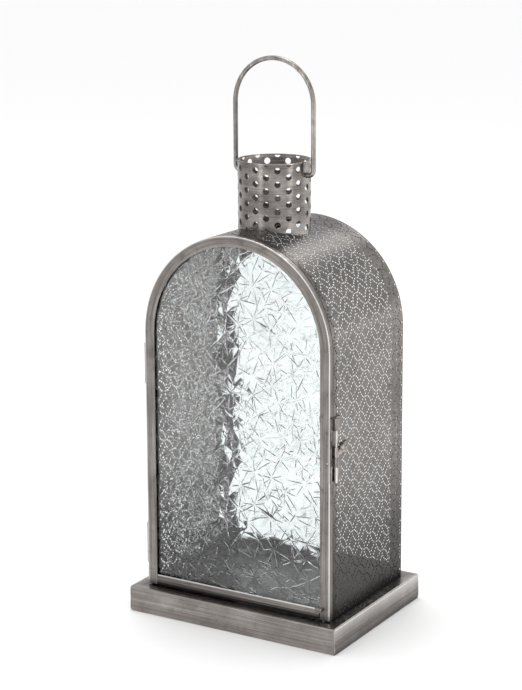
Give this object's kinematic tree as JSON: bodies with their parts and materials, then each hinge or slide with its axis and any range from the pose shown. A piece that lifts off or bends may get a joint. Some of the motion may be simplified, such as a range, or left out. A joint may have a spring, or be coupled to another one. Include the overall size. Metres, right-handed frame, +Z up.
{
  "type": "candle lantern",
  "caption": "Arched sheet-metal candle lantern on a rectangular plinth, with a glazed hinged door held by a hook latch, a glazed back, a perforated chimney and a wire bail handle",
  "frame": {"origin": "centre of the plinth's footprint, on the surface that the lantern stands on", "axes": "+X to the right seen from the door, +Y from the door to the back, +Z up"},
  "size_m": [0.2, 0.149, 0.4723],
  "materials": {
    "plinth_metal": "antique pewter wash over brushed sheet steel, worn bright on the bends",
    "shell_metal": "antique pewter wash over finely perforated sheet steel",
    "frame_metal": "antique pewter wash over brushed strip, streaked along its length",
    "chimney_metal": "brushed perforated sheet, lightly darkened",
    "wire_metal": "dull darkened steel wire",
    "fitting_metal": "darkened pressed steel, bright on the edges",
    "textured_glass": "clear glass with a crackled, ice-like relief"
  },
  "bodies": {
    "lantern": {"base_plinth": "plinth_metal", "base_rivet_left_front": "fitting_metal", "base_rivet_left_rear": "fitting_metal", "base_rivet_right_front": "fitting_metal", "base_rivet_right_rear": "fitting_metal", "body_shell": "shell_metal", "door_jamb": "frame_metal", "rear_frame": "frame_metal", "rear_bottom_rail": "frame_metal", "rear_glass": "textured_glass", "rear_glass_clip_left_low": "fitting_metal", "rear_glass_clip_left_high": "fitting_metal", "rear_glass_clip_right_low": "fitting_metal", "rear_glass_clip_right_high": "fitting_metal", "hinge_body_leaf_lower": "fitting_metal", "hinge_body_leaf_upper": "fitting_metal", "hinge_pin_lower": "fitting_metal", "hinge_pin_upper": "fitting_metal", "latch_catch": "fitting_metal", "chimney": "chimney_metal"},
    "door": {"door_frame": "frame_metal", "door_bottom_rail": "frame_metal", "door_glass": "textured_glass", "door_glass_clip_left_low": "fitting_metal", "door_glass_clip_left_high": "fitting_metal", "door_glass_clip_right_low": "fitting_metal", "door_glass_clip_right_high": "fitting_metal", "hinge_door_leaf_lower": "fitting_metal", "hinge_door_leaf_upper": "fitting_metal", "latch_bracket": "fitting_metal", "latch_pin": "fitting_metal"},
    "latch": {"latch_lever": "fitting_metal"},
    "bail": {"bail_handle": "wire_metal"}
  },
  "joints": [
    {"name": "door_hinge", "type": "hinge", "parent": "lantern", "child": "door", "pos_m": [-0.0904, -0.05735, 0.1375], "axis": [0, 0, -1], "range_deg": [0, 150]},
    {"name": "latch_swing", "type": "hinge", "parent": "door", "child": "latch", "pos_m": [0.091, -0.0566, 0.1643], "axis": [0, 0, -1], "range_deg": [0, 100]},
    {"name": "bail_swing", "type": "hinge", "parent": "lantern", "child": "bail", "pos_m": [0, 0, 0.3755], "axis": [1, 0, 0], "range_deg": [-125, 125]}
  ]
}
